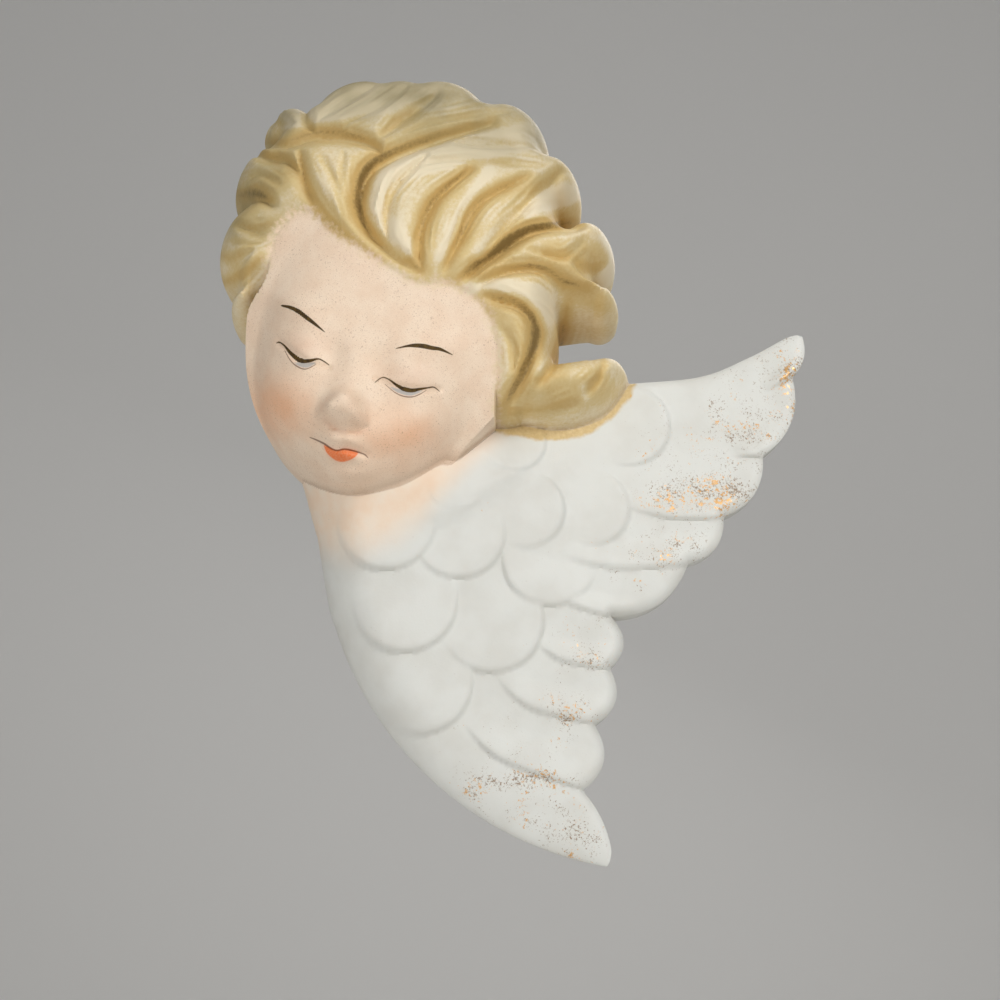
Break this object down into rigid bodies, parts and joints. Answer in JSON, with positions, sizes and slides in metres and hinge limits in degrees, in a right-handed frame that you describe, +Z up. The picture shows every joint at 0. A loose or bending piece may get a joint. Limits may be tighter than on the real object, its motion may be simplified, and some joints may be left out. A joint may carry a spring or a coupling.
{
  "type": "cherub wall plaque",
  "caption": "Sleeping cherub head with swept hair between two feathered wings, cast in one piece with a flat back, hung on a wall as an ornament.",
  "frame": {"origin": "on the flat back face, behind the middle of the head and wings, where the plaque rests on its wall", "axes": "+Z up as it hangs, +Y out of the flat back into the wall, the relief faces -Y, +X toward the outstretched wing"},
  "size_m": [0.0948, 0.0299, 0.1245],
  "materials": {
    "bisque": "unglazed matt bisque porcelain, hand painted"
  },
  "bodies": {
    "root": {"cherub_plaque": "bisque"}
  },
  "joints": []
}
